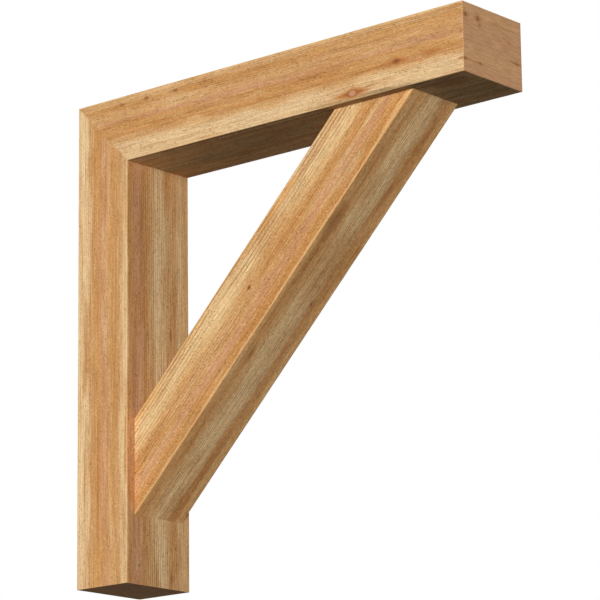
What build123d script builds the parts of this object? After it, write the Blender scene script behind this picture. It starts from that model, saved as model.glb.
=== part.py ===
from build123d import *
import math
import os

# Offset brace bracket in solid sawn timber, millimetres.
#
# Frame: the origin is the centre of the post's back face, the face that goes
# against a wall. +X points out from the wall along the arm, +Y runs across
# the bracket's width, +Z is up. The arm's top face is the soffit face.
# The bracket is the same on both sides of the plane Y = 0, and its outline is
# the same on both sides of the mitre line from the outer heel to the inner
# corner.

# ---------------------------------------------------------------- dimensions
HEIGHT = 1016.0      # 40 in, post, top of the arm to the foot of the post
REACH = 1016.0       # 40 in, wall face to the arm's end
WIDTH = 184.15       # 7 1/4 in, post and arm across the bracket
DEPTH = 139.7        # 5 1/2 in, post front to back, and arm top to bottom
BRACE_W = 139.7      # 5 1/2 in, brace across the bracket
BRACE_T = 139.7      # 5 1/2 in, brace square to its own length
TOE = 139.7          # foot of the brace above the post's lower end,
                     # and head of the brace back from the arm's end
ARRIS = 1.0          # radius of the eased long edges
END_EASE = 0.6       # radius of the eased edges round the two sawn ends

# structural timber screws: washer head, plain shank, threaded lower part
HEAD_D = 19.0        # washer head
HEAD_H = 4.2
SOCKET_AF = 8.0      # hexagonal drive socket across flats
SOCKET_DEPTH = 3.0
SHANK_D = 7.0        # plain shank
THREAD_D = 8.0       # outside of the thread, as a plain cylinder
POINT_L = 9.0        # conical point
HEEL_SCREW_L = 203.2     # 8 in, under the head to the tip
HEEL_THREAD_L = 100.0
BRACE_SCREW_L = 254.0    # 10 in
BRACE_THREAD_L = 90.0

# round recesses that sink the heads below the timber's face
SINK_D = 22.0
SINK_DEPTH = 13.0

HEEL_TOP_X = 50.0        # top screws, out from the wall face
HEEL_TOP_Y = 60.0        # and to each side of the middle
HEEL_BACK_DROP = 90.0    # back screws, below the arm's top face
HEEL_BACK_Y = 25.0
BRACE_SCREW_UP = 150.0   # foot screws, above the brace's lower corner
BRACE_SCREW_Y = 35.0

# ------------------------------------------------------------ derived places
top = HEIGHT / 2
bottom = -HEIGHT / 2
inner_z = top - DEPTH                  # underside of the arm
foot_low = bottom + TOE                # brace foot, lower corner, at x = DEPTH
brace_cut = BRACE_T * math.sqrt(2)     # length of each 45 degree end cut
foot_high = foot_low + brace_cut
head_out = DEPTH + (inner_z - foot_low)    # brace head, outer corner, at z = inner_z
head_in = head_out - brace_cut
foot_screw_z = foot_low + BRACE_SCREW_UP
head_screw_x = top - foot_screw_z      # the same place, mirrored in the mitre line


# ------------------------------------------------------------------ timbers
def eased_bar(width, depth, length, radius):
    """A sawn bar along +Z from z = 0, centred on X and Y, with its four long
    edges rounded."""
    bar = Box(depth, width, length, align=(Align.CENTER, Align.CENTER, Align.MIN))
    return fillet(bar.edges().filter_by(Axis.Z), radius)


def end_edges(shape, axis, value):
    """The edges that lie wholly in the plane axis = value."""
    picked = []
    for e in shape.edges():
        box = e.bounding_box()
        lo = {"x": box.min.X, "z": box.min.Z}[axis]
        hi = {"x": box.max.X, "z": box.max.Z}[axis]
        if abs(lo - value) < 1e-3 and abs(hi - value) < 1e-3:
            picked.append(e)
    return picked


def prism(points, width):
    """A prism with its outline in the XZ plane, running width across Y."""
    wire = Polyline(*[(x, 0, z) for x, z in points], close=True)
    face = Face(Wire(wire.edges()))
    return extrude(face, amount=width / 2, dir=(0, 1, 0), both=True)


big = HEIGHT + REACH

# Post: a bar stood on end, its top cut off along the mitre.
post = Pos(DEPTH / 2, 0, bottom) * eased_bar(WIDTH, DEPTH, HEIGHT, ARRIS)
post = fillet(end_edges(post, "z", bottom), END_EASE)
above_mitre = prism([(-big, top + big), (big, top - big), (big, top + big)], 4 * WIDTH)
post = post - above_mitre

# Arm: a bar laid along +X, its back end cut off along the mitre.
arm = Pos(0, 0, top - DEPTH / 2) * (Rot(0, 90, 0) * eased_bar(WIDTH, DEPTH, REACH, ARRIS))
arm = fillet(end_edges(arm, "x", REACH), END_EASE)
below_mitre = prism([(-big, top + big), (-big, top - big), (big, top - big)], 4 * WIDTH)
arm = arm - below_mitre

# Brace: a square bar at 45 degrees, cut plumb at the foot and level at the
# head. Its lower long face starts at (DEPTH, foot_low).
run = (inner_z - foot_low) * math.sqrt(2)
slant = Rot(0, 45, 0) * eased_bar(BRACE_W, BRACE_T, run + 2 * BRACE_T, ARRIS)
# the bar's axis passes half its thickness above the lower face
s = math.sqrt(0.5)
start = (DEPTH - BRACE_T / 2 * s - BRACE_T * s,
         foot_low + BRACE_T / 2 * s - BRACE_T * s)
slant = Pos(start[0], 0, start[1]) * slant
space = prism([(DEPTH, foot_low - BRACE_T), (DEPTH, inner_z),
               (head_out + BRACE_T, inner_z), (head_out + BRACE_T, foot_low - BRACE_T)],
              2 * WIDTH)
brace = slant & space


# ------------------------------------------------------------------- screws
def screw_blank(length, thread_length):
    """A timber screw along -Z with the underside of its head at z = 0."""
    profile = Polyline(
        (0, 0, HEAD_H), (HEAD_D / 2 - 2.2, 0, HEAD_H), (HEAD_D / 2 - 0.5, 0, 1.6),
        (HEAD_D / 2, 0, 1.1), (HEAD_D / 2, 0, 0), (SHANK_D / 2, 0, 0),
        (SHANK_D / 2, 0, -(length - thread_length)),
        (THREAD_D / 2, 0, -(length - thread_length)),
        (THREAD_D / 2, 0, -(length - POINT_L)), (0, 0, -length), close=True)
    return revolve(Face(Wire(profile.edges())), axis=Axis.Z)


def screw(length, thread_length):
    """The screw with its drive socket."""
    socket = Pos(0, 0, HEAD_H - SOCKET_DEPTH) * extrude(
        RegularPolygon(SOCKET_AF / 2, 6, major_radius=False), amount=SOCKET_DEPTH + 5)
    return screw_blank(length, thread_length) - socket


def screw_room(length, thread_length):
    """What the screw and its recess take out of the timbers. The shank is a
    push fit and the thread has cut its own way, so both are the screw's size."""
    recess = Pos(0, 0, 0) * Cylinder(SINK_D / 2, SINK_DEPTH + 20,
                                     align=(Align.CENTER, Align.CENTER, Align.MIN))
    shank = Cylinder(SHANK_D / 2, length - thread_length,
                     align=(Align.CENTER, Align.CENTER, Align.MAX))
    thread = Pos(0, 0, -(length - thread_length)) * Cylinder(
        THREAD_D / 2, thread_length - POINT_L,
        align=(Align.CENTER, Align.CENTER, Align.MAX))
    point = Pos(0, 0, -(length - POINT_L)) * Cone(
        0, THREAD_D / 2, POINT_L, align=(Align.CENTER, Align.CENTER, Align.MAX))
    return recess + shank + thread + point


def down(x, y):
    """Driven down from the arm's top face, head seat SINK_DEPTH below it."""
    return Pos(x, y, top - SINK_DEPTH)


def inward(y, z):
    """Driven along +X from the post's back face."""
    return Pos(SINK_DEPTH, y, z) * Rot(0, -90, 0)


heel = (HEEL_SCREW_L, HEEL_THREAD_L)
long = (BRACE_SCREW_L, BRACE_THREAD_L)
back_z = top - HEEL_BACK_DROP
places = {
    "heel_screw_top_near": (down(HEEL_TOP_X, -HEEL_TOP_Y), heel),
    "heel_screw_top_far": (down(HEEL_TOP_X, HEEL_TOP_Y), heel),
    "heel_screw_back_near": (inward(-HEEL_BACK_Y, back_z), heel),
    "heel_screw_back_far": (inward(HEEL_BACK_Y, back_z), heel),
    "foot_screw_near": (inward(-BRACE_SCREW_Y, foot_screw_z), long),
    "foot_screw_far": (inward(BRACE_SCREW_Y, foot_screw_z), long),
    "head_screw_near": (down(head_screw_x, -BRACE_SCREW_Y), long),
    "head_screw_far": (down(head_screw_x, BRACE_SCREW_Y), long),
}

screws = {}
for name, (place, size) in places.items():
    screws[name] = place * screw(*size)
    room = place * screw_room(*size)
    if name.startswith("heel"):
        post = post - room
        arm = arm - room
    elif name.startswith("foot"):
        post = post - room
        brace = brace - room
    else:
        arm = arm - room
        brace = brace - room

# ------------------------------------------------------------------- output
nodes = {"post": post, "arm": arm, "brace": brace}
nodes.update(screws)


def one_solid(shape):
    found = shape.solids()
    if len(found) != 1:
        raise ValueError("expected one solid, found %d" % len(found))
    return found[0]


os.makedirs("parts", exist_ok=True)
for name, shape in nodes.items():
    solid = one_solid(shape)
    export_step(solid, "parts/" + name + ".step")
    box = solid.bounding_box()
    print("%-22s volume %12.1f  x %8.2f %8.2f  y %7.2f %7.2f  z %8.2f %8.2f" % (
        name, solid.volume, box.min.X, box.max.X, box.min.Y, box.max.Y,
        box.min.Z, box.max.Z))
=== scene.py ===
import math

import bmesh
import bpy
import numpy as np
from mathutils import Matrix, Vector


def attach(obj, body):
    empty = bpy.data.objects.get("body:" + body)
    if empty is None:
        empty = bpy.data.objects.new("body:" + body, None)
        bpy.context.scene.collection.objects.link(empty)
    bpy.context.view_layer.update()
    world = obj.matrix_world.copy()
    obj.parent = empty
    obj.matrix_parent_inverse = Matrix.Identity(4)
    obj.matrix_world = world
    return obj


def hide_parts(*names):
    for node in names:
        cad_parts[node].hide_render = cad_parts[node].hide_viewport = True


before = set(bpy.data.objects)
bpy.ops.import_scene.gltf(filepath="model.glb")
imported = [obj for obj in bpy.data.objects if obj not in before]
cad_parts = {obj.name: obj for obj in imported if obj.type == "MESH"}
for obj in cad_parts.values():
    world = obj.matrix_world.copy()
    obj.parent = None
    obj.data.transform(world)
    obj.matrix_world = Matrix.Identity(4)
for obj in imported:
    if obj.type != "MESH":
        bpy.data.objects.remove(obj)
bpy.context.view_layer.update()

scene = bpy.context.scene

# The row frame: origin at the centre of the post's back face, +X out along the
# arm, +Y across, +Z up. Timber work below is in millimetres in each timber's own
# axes: L along the grain, P and Q across it.

MM = 0.001
HALF = 508.0
WIDTH = 184.15
DEPTH = 139.7
ROOT2 = math.sqrt(2.0)
INNER = HALF - DEPTH                       # 368.3, the arm's underside
BRACE_L = (INNER + HALF - DEPTH) * ROOT2   # 1041.7, the brace's lower long edge


# =====================================================================  camera
def make_camera():
    az, el, roll = 0.7074296, -0.2422054, -0.0125868
    back = Vector((math.sin(az) * math.cos(el), -math.cos(az) * math.cos(el), math.sin(el)))
    right = Vector((math.cos(az), math.sin(az), 0.0))
    up = back.cross(right)
    r = right * math.cos(roll) + up * math.sin(roll)
    u = up * math.cos(roll) - right * math.sin(roll)
    data = bpy.data.cameras.new("camera")
    data.sensor_width = 36.0
    data.lens = 3199.3245 / 600.0 * 36.0
    data.clip_start, data.clip_end = 0.05, 200.0
    cam = bpy.data.objects.new("camera", data)
    rot = Matrix((r, u, back)).transposed()
    cam.matrix_world = Matrix.Translation((4.513906, -4.666225, -1.493995)) @ rot.to_4x4()
    scene.collection.objects.link(cam)
    scene.camera = cam


# =====================================================================  light
def sun(name, azimuth, elevation, strength, angle, colour=(1, 1, 1)):
    """A soft distant light that comes from azimuth and elevation, in degrees,
    with azimuth 0 on the -Y side and 90 on the +X side."""
    a, e = math.radians(azimuth), math.radians(elevation)
    came = Vector((math.sin(a) * math.cos(e), -math.cos(a) * math.cos(e), math.sin(e)))
    data = bpy.data.lights.new(name, "SUN")
    data.energy = strength
    data.angle = math.radians(angle)
    data.color = colour
    ob = bpy.data.objects.new(name, data)
    ob.rotation_mode = "QUATERNION"
    ob.rotation_quaternion = came.to_track_quat("Z", "Y")
    ob.location = came * 6.0
    scene.collection.objects.link(ob)
    return ob


def make_light():
    world = bpy.data.worlds.new("studio")
    scene.world = world
    world.use_nodes = True
    nt = world.node_tree
    nt.nodes.clear()
    out = nt.nodes.new("ShaderNodeOutputWorld")
    seen = nt.nodes.new("ShaderNodeBackground")
    seen.inputs["Color"].default_value = (1, 1, 1, 1)
    seen.inputs["Strength"].default_value = 1.0
    lit = nt.nodes.new("ShaderNodeBackground")
    lit.inputs["Color"].default_value = (1.0, 0.985, 0.96, 1)
    lit.inputs["Strength"].default_value = 0.040
    path = nt.nodes.new("ShaderNodeLightPath")
    mix = nt.nodes.new("ShaderNodeMixShader")
    nt.links.new(path.outputs["Is Camera Ray"], mix.inputs[0])
    nt.links.new(lit.outputs[0], mix.inputs[1])
    nt.links.new(seen.outputs[0], mix.inputs[2])
    nt.links.new(mix.outputs[0], out.inputs["Surface"])
    sun("key", 39.6, -4.0, 2.74, 20.0, (1.0, 1.0, 1.0))
    sun("side_fill", 4.0, 1.0, 1.00, 22.0, (1.0, 1.0, 1.0))
    sun("from_above", 200.0, 86.0, 2.8, 7.0, (1.0, 1.0, 1.0))
    sun("far_side", 185.0, 5.0, 2.5, 8.0, (1.0, 1.0, 1.0))
    sun("behind", 265.0, 4.0, 2.0, 8.0, (1.0, 1.0, 1.0))
    scene.view_settings.view_transform = "Standard"
    scene.view_settings.look = "None"
    scene.view_settings.exposure = 0.0
    scene.view_settings.gamma = 1.0


def make_floor():
    me = bpy.data.meshes.new("floor")
    s, z = 60.0, -8.6
    me.from_pydata([(-s, -s, z), (s, -s, z), (s, s, z), (-s, s, z)], [], [(0, 1, 2, 3)])
    ob = bpy.data.objects.new("floor", me)
    scene.collection.objects.link(ob)
    mat = bpy.data.materials.new("floor_pale")
    mat.use_nodes = True
    b = mat.node_tree.nodes["Principled BSDF"]
    b.inputs["Base Color"].default_value = (0.93, 0.93, 0.92, 1)
    b.inputs["Roughness"].default_value = 0.9
    me.materials.append(mat)
    ob.visible_diffuse = False
    ob.visible_glossy = False
    ob.visible_shadow = False


# =====================================================================  nodes
def srgb(r, g, b):
    """0 to 255 display values to linear."""
    def lin(c):
        c /= 255.0
        return c / 12.92 if c <= 0.04045 else ((c + 0.055) / 1.055) ** 2.4
    return (lin(r), lin(g), lin(b), 1.0)


class Tree:
    """Short names for the nodes a material needs."""

    def __init__(self, name):
        self.mat = bpy.data.materials.new(name)
        self.mat.use_nodes = True
        self.t = self.mat.node_tree
        self.t.nodes.clear()
        self.out = self.t.nodes.new("ShaderNodeOutputMaterial")
        self.bsdf = self.t.nodes.new("ShaderNodeBsdfPrincipled")
        self.t.links.new(self.bsdf.outputs[0], self.out.inputs["Surface"])

    def put(self, socket, value):
        if value is None:
            return
        if isinstance(value, bpy.types.NodeSocket):
            self.t.links.new(value, socket)
        else:
            socket.default_value = value

    def m(self, op, a, b=None, c=None, clamp=False):
        n = self.t.nodes.new("ShaderNodeMath")
        n.operation = op
        n.use_clamp = clamp
        for i, v in enumerate((a, b, c)):
            self.put(n.inputs[i], v)
        return n.outputs[0]

    def v(self, op, a, b=None, scale=None):
        n = self.t.nodes.new("ShaderNodeVectorMath")
        n.operation = op
        self.put(n.inputs[0], a)
        self.put(n.inputs[1], b)
        if scale is not None:
            self.put(n.inputs["Scale"], scale)
        return n.outputs["Value"] if op in ("DOT_PRODUCT", "LENGTH", "DISTANCE") else n.outputs[0]

    def xyz(self, x, y, z):
        n = self.t.nodes.new("ShaderNodeCombineXYZ")
        for i, v in enumerate((x, y, z)):
            self.put(n.inputs[i], v)
        return n.outputs[0]

    def split(self, vec):
        n = self.t.nodes.new("ShaderNodeSeparateXYZ")
        self.put(n.inputs[0], vec)
        return n.outputs[0], n.outputs[1], n.outputs[2]

    def noise(self, vec, detail=2.0, rough=0.5, distortion=0.0, lac=2.0):
        n = self.t.nodes.new("ShaderNodeTexNoise")
        n.noise_dimensions = "3D"
        n.normalize = True
        self.put(n.inputs["Vector"], vec)
        n.inputs["Scale"].default_value = 1.0
        n.inputs["Detail"].default_value = detail
        n.inputs["Roughness"].default_value = rough
        n.inputs["Lacunarity"].default_value = lac
        n.inputs["Distortion"].default_value = distortion
        return n.outputs["Fac"]

    def step(self, x, lo, hi, a=0.0, b=1.0):
        """a below lo, b above hi, eased between."""
        n = self.t.nodes.new("ShaderNodeMapRange")
        n.interpolation_type = "SMOOTHSTEP"
        self.put(n.inputs["Value"], x)
        n.inputs["From Min"].default_value = lo
        n.inputs["From Max"].default_value = hi
        n.inputs["To Min"].default_value = a
        n.inputs["To Max"].default_value = b
        return n.outputs["Result"]

    def line(self, x, lo, hi, a=0.0, b=1.0, clamp=True):
        n = self.t.nodes.new("ShaderNodeMapRange")
        n.clamp = clamp
        self.put(n.inputs["Value"], x)
        n.inputs["From Min"].default_value = lo
        n.inputs["From Max"].default_value = hi
        n.inputs["To Min"].default_value = a
        n.inputs["To Max"].default_value = b
        return n.outputs["Result"]

    def ramp(self, x, stops, how="LINEAR"):
        n = self.t.nodes.new("ShaderNodeValToRGB")
        n.color_ramp.interpolation = how
        el = n.color_ramp.elements
        while len(el) > 1:
            el.remove(el[-1])
        el[0].position, el[0].color = stops[0]
        for pos, col in stops[1:]:
            e = el.new(pos)
            e.color = col
        self.put(n.inputs[0], x)
        return n.outputs["Color"]

    def mix(self, f, a, b, how="MIX"):
        n = self.t.nodes.new("ShaderNodeMix")
        n.data_type = "RGBA"
        n.blend_type = how
        n.clamp_factor = True
        self.put(n.inputs[0], f)
        self.put(n.inputs[6], a)
        self.put(n.inputs[7], b)
        return n.outputs[2]

    def bump(self, height, distance, strength=1.0, normal=None):
        n = self.t.nodes.new("ShaderNodeBump")
        n.inputs["Strength"].default_value = strength
        n.inputs["Distance"].default_value = distance
        self.put(n.inputs["Height"], height)
        if normal is not None:
            self.put(n.inputs["Normal"], normal)
        return n.outputs[0]


# =====================================================================  wood
# The tones that the bands of the timber are made of.
CREAM = srgb(228, 194, 146)
STRAW = srgb(220, 178, 124)
TAN = srgb(209, 161, 107)
HONEY = srgb(206, 154, 95)
ORANGE = srgb(199, 143, 84)
RUST = srgb(184, 122, 68)
MAUVE = srgb(205, 152, 110)
OLIVE = srgb(211, 172, 122)
UMBER = srgb(176, 126, 78)
SPARK = srgb(240, 205, 150)
SHADE = srgb(182, 161, 119)
PALE = srgb(234, 202, 154)
# painted highlight tone, laid along the long arrises
ARRIS_HIGHLIGHT = srgb(236, 200, 148)
PINK = srgb(211, 160, 116)
BUFF = srgb(215, 166, 117)
GOLD = srgb(230, 181, 119)
WHEAT = srgb(243, 208, 152)
AMBER = srgb(214, 160, 99)
MOSS = srgb(168, 140, 97)
# painted shade tone, for the strip of the arm's underside beside the brace head
PAINTED_SHADE = srgb(140, 108, 70)
LOAM = srgb(158, 104, 54)
CLAY = srgb(209, 158, 114)


def wood(name, origin, dl, dp, dq, half_q, pith, bands, zones, pitch, knots, seed, ends, patches, arris_highlight,
         arris_highlight_tone=ARRIS_HIGHLIGHT, grit=1.0, calm_top=False):
    """A sawn softwood timber as a solid block of grain.

    origin, dl, dp, dq   the timber's own axes, origin in mm
    pith                 (P, Q) of the ring centre, outside the section
    bands                (distance from the pith, tone), inner to outer
    zones                (distance, strength) of the close dark ring lines
    pitch                (distance, ring spacing from there on)
    knots                each a dict, see knot()
    ends                 (L of a sawn end, its side, its tones from P = 0 up)
    patches              (place, half sizes, tone, amount): stains and streaks, and painted shade where one is listed
    rub, arris_highlight_tone        strength and tone of a painted highlight laid along the long arrises
    grit                 strength of the finest fibres and the saw's marks
    calm_top             a smoother face on the P high side, fewer saw ticks on the P low side
    """
    T = Tree(name)
    tc = T.t.nodes.new("ShaderNodeTexCoord")
    pos = T.v("SUBTRACT", T.v("SCALE", tc.outputs["Object"], scale=1000.0), origin)
    L = T.v("DOT_PRODUCT", pos, dl)
    P = T.v("DOT_PRODUCT", pos, dp)
    Q = T.v("DOT_PRODUCT", pos, dq)
    V = T.xyz(L, P, Q)
    S = T.v("ADD", V, (seed * 911.0, seed * 373.0, seed * 157.0))

    def field(sl, sp, sq, detail=2.0, rough=0.5, distortion=0.0, shift=0.0, src=None):
        vec = T.v("MULTIPLY", src or S, (1.0 / sl, 1.0 / sp, 1.0 / sq))
        if shift:
            vec = T.v("ADD", vec, (shift, shift * 1.7, -shift * 0.6))
        return T.noise(vec, detail, rough, distortion)

    # --- slow wander of the grain along the timber, and its feathered edges
    w1 = T.line(field(430, 70, 70, 1.0), 0.0, 1.0, -11.0, 11.0)
    w2 = T.line(field(120, 24, 24, 2.0, shift=3.1), 0.0, 1.0, -6.0, 6.0)
    w3 = T.line(field(150, 6.5, 6.5, 3.0, 0.6, shift=-2.3), 0.0, 1.0, -7.0, 7.0)
    r0 = T.m("SQRT", T.m("ADD", T.m("POWER", T.m("SUBTRACT", P, pith[0]), 2.0),
                         T.m("POWER", T.m("SUBTRACT", Q, pith[1]), 2.0)))
    r = T.m("ADD", r0, T.m("ADD", w1, w2))
    pushed = 0.0

    # --- knots bend the grain round themselves
    wob = T.t.nodes.new("ShaderNodeTexNoise")
    T.put(wob.inputs["Vector"], T.v("MULTIPLY", S, (1 / 11.0, 1 / 6.0, 1 / 6.0)))
    wob.inputs["Scale"].default_value = 1.0
    wob.inputs["Detail"].default_value = 2.0
    VK = T.v("ADD", V, T.v("MULTIPLY", T.v("SUBTRACT", wob.outputs["Color"], (0.5, 0.5, 0.5)), (9.0, 4.0, 4.0)))
    shapes = []
    for k in knots:
        d = T.v("SUBTRACT", VK, k["at"])
        core = T.v("MULTIPLY", d, tuple(1.0 / x for x in k["size"]))
        dc = T.v("LENGTH", core)
        # the halo runs out to a point along the grain
        hx, hy, hz = T.split(T.v("MULTIPLY", d, tuple(1.0 / x for x in k["halo"])))
        dh = T.m("ADD", T.m("ABSOLUTE", hx), T.m("ADD", T.m("ABSOLUTE", hy), T.m("MULTIPLY", hz, hz)))
        hm = T.line(dh, 0.35, 1.05, 1.0, 0.0)
        if k.get("bend"):
            across = T.v("DOT_PRODUCT", core, k.get("across", (0.0, 1.0, 0.0)))
            push = T.m("MULTIPLY", T.m("MULTIPLY", across, hm), k["bend"])
            r = T.m("SUBTRACT", r, push)
            pushed = T.m("ADD", push, pushed)
        shapes.append((k, dc, hm))

    lo, hi = bands[0][0], bands[-1][0]
    col = T.ramp(T.line(T.m("ADD", r, w3), lo, hi), [((d - lo) / (hi - lo), c) for d, c in bands])

    # --- clouds of warmer, paler and browner wood
    c1 = field(170, 26, 26, 3.0, 0.6, shift=7.7)
    col = T.mix(T.step(c1, 0.48, 0.70, 0.0, 0.62), col, ORANGE)
    c2 = field(150, 20, 20, 3.0, 0.6, shift=-5.3)
    col = T.mix(T.step(c2, 0.54, 0.76, 0.0, 0.55), col, CREAM)
    c3 = field(260, 11, 11, 3.0, 0.55, shift=11.9)
    col = T.mix(T.step(c3, 0.52, 0.70, 0.0, 0.40), col, MAUVE)
    # patches: stains and streaks of the wood; a patch may also be painted shade, as on the arm's underside
    for at, half, tone, amount in patches:
        d = T.v("LENGTH", T.v("MULTIPLY", T.v("SUBTRACT", VK, at), tuple(1.0 / x for x in half)))
        d = T.m("ADD", d, T.line(field(60, 9, 9, 3.0, 0.6, shift=5.5), 0.0, 1.0, -0.55, 0.55))
        col = T.mix(T.step(d, 0.35, 1.0, amount, 0.0), col, tone)

    # --- growth rings: uneven lines, nearly straight along the timber
    straight = T.m("ADD", r0, T.m("ADD", T.m("MULTIPLY", w1, 0.30), T.m("MULTIPLY", w2, 0.12)))
    straight = T.m("SUBTRACT", straight, pushed)
    turn = None
    for i, (start, gap) in enumerate(pitch):
        stop = pitch[i + 1][0] if i + 1 < len(pitch) else start + 400.0
        piece = T.line(straight, start, stop, 0.0, (stop - start) / gap)
        turn = piece if turn is None else T.m("ADD", turn, piece)
    turn = T.m("ADD", turn, T.line(field(90, 9, 9, 2.0, shift=1.3), 0.0, 1.0, -0.35, 0.35))
    g1 = T.noise(T.xyz(T.m("MULTIPLY", turn, 0.62), T.m("DIVIDE", L, 600.0), seed * 3.7), 2.5, 0.62)
    g2 = T.noise(T.xyz(T.m("MULTIPLY", turn, 1.45), T.m("DIVIDE", L, 210.0), seed * 5.1), 2.0, 0.6)
    coarse = T.step(g1, 0.52, 0.66, 0.0, 1.0)
    fine = T.step(g2, 0.52, 0.66, 0.0, 1.0)
    col = T.mix(T.m("MULTIPLY", coarse, 0.40), col, T.mix(1.0, col, (0.80, 0.66, 0.47, 1), "MULTIPLY"))
    col = T.mix(T.m("MULTIPLY", fine, 0.40), col, T.mix(1.0, col, (0.80, 0.66, 0.48, 1), "MULTIPLY"))

    # --- zones of regular close rings with thin dark summer wood
    zlo, zhi = zones[0][0], zones[-1][0]
    zone = T.ramp(T.line(r, zlo, zhi),
                  [((d - zlo) / (zhi - zlo), (s, s, s, 1.0)) for d, s in zones])
    u = T.m("FRACT", turn)
    saw = T.m("MULTIPLY", T.step(u, 0.46, 0.84), T.step(u, 0.90, 1.0, 1.0, 0.0))
    fade = T.step(field(130, 12, 12, 2.0, shift=2.2), 0.36, 0.60, 0.35, 1.0)
    lines = T.m("MULTIPLY", T.m("MULTIPLY", saw, fade), zone)
    col = T.mix(lines, col, T.mix(1.0, col, (0.46, 0.31, 0.18, 1), "MULTIPLY"))

    # --- fibres
    f1 = field(75, 4.6, 4.6, 4.0, 0.68, shift=4.4)
    f2 = field(16, 2.6, 2.6, 2.0, 0.6, shift=9.2)
    f3 = field(3.9, 3.3, 3.3, 1.0, 0.5, shift=-7.4)
    val = T.m("ADD", T.line(f1, 0.30, 0.70, 0.85, 1.15), T.line(f2, 0.30, 0.70, -0.10 * grit, 0.10 * grit))
    val = T.m("ADD", val, T.line(f3, 0.30, 0.70, -0.11 * grit, 0.11 * grit))
    col = T.mix(1.0, col, T.xyz(val, T.m("POWER", val, 1.12), T.m("POWER", val, 1.3)), "MULTIPLY")

    # --- the saw's marks: short slanting dark ticks and pale raised flecks
    slant = T.v("ADD", S, T.xyz(T.m("MULTIPLY", T.m("ADD", P, Q), 0.9), 0.0, 0.0))
    where = T.step(field(90, 20, 20, 3.0, 0.6, shift=8.8), 0.42, 0.58, 0.30, 1.0)
    t1 = field(5.6, 3.3, 3.3, 1.0, 0.5, shift=6.1, src=slant)
    tick = T.m("MULTIPLY", T.step(t1, 0.58, 0.70), where)
    if calm_top:
        tick = T.m("MULTIPLY", tick, T.step(P, 0.8, 3.0, 0.50, 1.0))
    col = T.mix(T.m("MULTIPLY", tick, 0.66 * grit), col, T.mix(1.0, col, (0.50, 0.36, 0.22, 1), "MULTIPLY"))
    t2 = field(4.6, 3.2, 3.2, 1.0, 0.5, shift=-3.6, src=slant)
    fleck = T.m("MULTIPLY", T.step(t2, 0.58, 0.74), T.m("SUBTRACT", 1.3, where), clamp=True)
    col = T.mix(T.m("MULTIPLY", fleck, 0.44 * grit), col, SPARK)

    # --- knots themselves
    height_knots = None
    for k, dc, hm in shapes:
        col = T.mix(T.m("MULTIPLY", hm, k["halo_amount"]), col, k["halo_tone"])
        rim = T.m("MULTIPLY", T.step(dc, 0.50, 0.95), T.step(dc, 1.0, 1.5, 1.0, 0.0))
        col = T.mix(T.m("MULTIPLY", rim, k["rim_amount"]), col, k["rim_tone"])
        core = T.step(dc, 0.45, 1.10, 1.0, 0.0)
        col = T.mix(T.m("MULTIPLY", core, k["core_amount"]), col, k["core_tone"])
        height_knots = core if height_knots is None else T.m("MAXIMUM", height_knots, core)

    # --- the long arrises: a painted highlight, a tone of its own laid along each eased arris
    eP = T.m("ABSOLUTE", T.m("SUBTRACT", P, DEPTH / 2))
    eQ = T.m("ABSOLUTE", Q)
    ragged = T.line(field(22, 8, 8, 3.0, 0.6, shift=1.9), 0.2, 0.8, -1.0, 1.0)
    edge = T.m("MULTIPLY", T.step(T.m("ADD", eP, ragged), DEPTH / 2 - 3.2, DEPTH / 2 - 1.0),
               T.step(T.m("ADD", eQ, ragged), half_q - 3.2, half_q - 1.0))
    col = T.mix(T.m("MULTIPLY", edge, arris_highlight), col, arris_highlight_tone)

    # --- sawn ends
    end_mask = None
    for place, way, tones in ends:
        m = T.step(T.m("MULTIPLY", L, way), way * place - 0.55, way * place - 0.25)
        if end_mask is None:
            end_mask = m
        else:
            end_mask = T.m("MAXIMUM", end_mask, m)
        tilt = T.m("ADD", P, T.m("MULTIPLY", Q, 0.03))
        slow = T.line(T.noise(T.xyz(T.m("DIVIDE", Q, 95.0), T.m("DIVIDE", tilt, 12.0), seed), 2.0, 0.55),
                      0.0, 1.0, -9.0, 9.0)
        base = T.ramp(T.line(T.m("ADD", tilt, slow), 0.0, DEPTH),
                      [(i / (len(tones) - 1), t) for i, t in enumerate(tones)])
        e1 = T.noise(T.xyz(T.m("DIVIDE", Q, 30.0), T.m("DIVIDE", tilt, 3.2), seed * 2.0), 4.0, 0.6)
        e2 = T.noise(T.xyz(T.m("DIVIDE", Q, 3.4), T.m("DIVIDE", tilt, 2.8), seed * 4.0), 1.0, 0.5)
        ev = T.m("ADD", T.line(e1, 0.3, 0.7, 0.80, 1.20), T.line(e2, 0.3, 0.7, -0.10, 0.10))
        base = T.mix(1.0, base, T.xyz(ev, T.m("POWER", ev, 1.1), T.m("POWER", ev, 1.25)), "MULTIPLY")
        for k, dc, hm in shapes:
            if k["end"]:
                base = T.mix(T.m("MULTIPLY", hm, k["halo_amount"]), base, k["halo_tone"])
                base = T.mix(T.m("MULTIPLY", T.step(dc, 0.45, 1.10, 1.0, 0.0), k["core_amount"]), base,
                             k["core_tone"])
        col = T.mix(m, col, base)

    T.put(T.bsdf.inputs["Base Color"], col)
    rough = T.m("ADD", T.line(f1, 0.3, 0.7, 0.76, 0.62), T.m("MULTIPLY", tick, 0.08))
    T.put(T.bsdf.inputs["Roughness"], rough)
    T.bsdf.inputs["Specular IOR Level"].default_value = 0.28

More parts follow.
